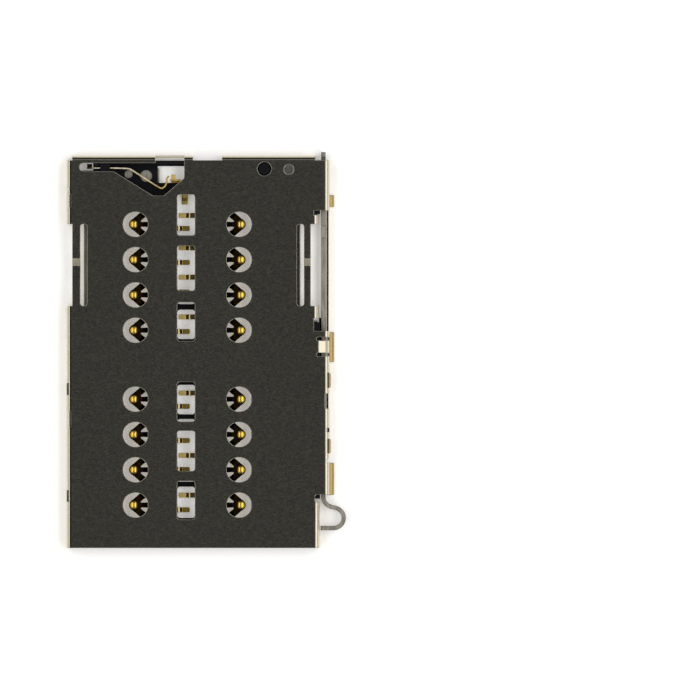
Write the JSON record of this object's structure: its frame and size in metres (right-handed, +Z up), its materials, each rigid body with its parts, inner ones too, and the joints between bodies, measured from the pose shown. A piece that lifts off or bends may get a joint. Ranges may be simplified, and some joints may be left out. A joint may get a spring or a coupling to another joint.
{
  "type": "sim card socket",
  "caption": "Low board socket for a two-card tray: a pierced folded steel cover over a moulded base with spring contacts, a card-present switch and a push-rod ejector.",
  "frame": {"origin": "on the board plane, under the middle of the cover's plan outline", "axes": "+Z up from the board to the cover, +Y to the rear away from the tray mouth, +X to the side with the push rod"},
  "size_m": [0.0201, 0.0285, 0.0014],
  "materials": {
    "cover_steel": "satin rolled sheet, bright plated fold edges and tabs",
    "base_plastic": "dark blue-black moulded, fine matte",
    "frame_steel": "bare rolled sheet",
    "contact_plate": "gold flash on the tips and tails over a pale nickel plating",
    "switch_plate": "gold plated spring strip",
    "rod_steel": "bare strip steel",
    "lever_steel": "bare stamped steel",
    "pin_steel": "staked steel"
  },
  "bodies": {
    "socket": {"cover_shell": "cover_steel", "base_housing": "base_plastic", "base_frame": "frame_steel", "contact_1": "contact_plate", "contact_2": "contact_plate", "contact_3": "contact_plate", "contact_4": "contact_plate", "contact_5": "contact_plate", "contact_6": "contact_plate", "contact_7": "contact_plate", "contact_8": "contact_plate", "contact_9": "contact_plate", "contact_10": "contact_plate", "contact_11": "contact_plate", "contact_12": "contact_plate", "contact_13": "contact_plate", "contact_14": "contact_plate", "contact_15": "contact_plate", "contact_16": "contact_plate", "switch_contact": "switch_plate", "lever_pin": "pin_steel"},
    "rod": {"push_rod": "rod_steel"},
    "lever": {"eject_lever": "lever_steel"},
    "leaf": {"switch_arm": "switch_plate"}
  },
  "joints": [
    {"name": "rod_slide", "type": "slide", "parent": "socket", "child": "rod", "axis": [0, 1, 0], "range_m": [-0.0012, 0]},
    {"name": "lever_turn", "type": "hinge", "parent": "socket", "child": "lever", "pos_m": [0.00653, 0.01312, 0.0006], "axis": [0, 0, 1], "range_deg": [-27, 0]},
    {"name": "leaf_flex", "type": "hinge", "parent": "socket", "child": "leaf", "pos_m": [-0.0078, 0.01322, 0.0008], "axis": [0, 0, 1], "range_deg": [0, 3], "stiffness_Nm_per_rad": 0.005}
  ],
  "couplings": [
    {"joint": "lever_turn", "follows": "rod_slide", "rad_per_m": 388.6}
  ]
}
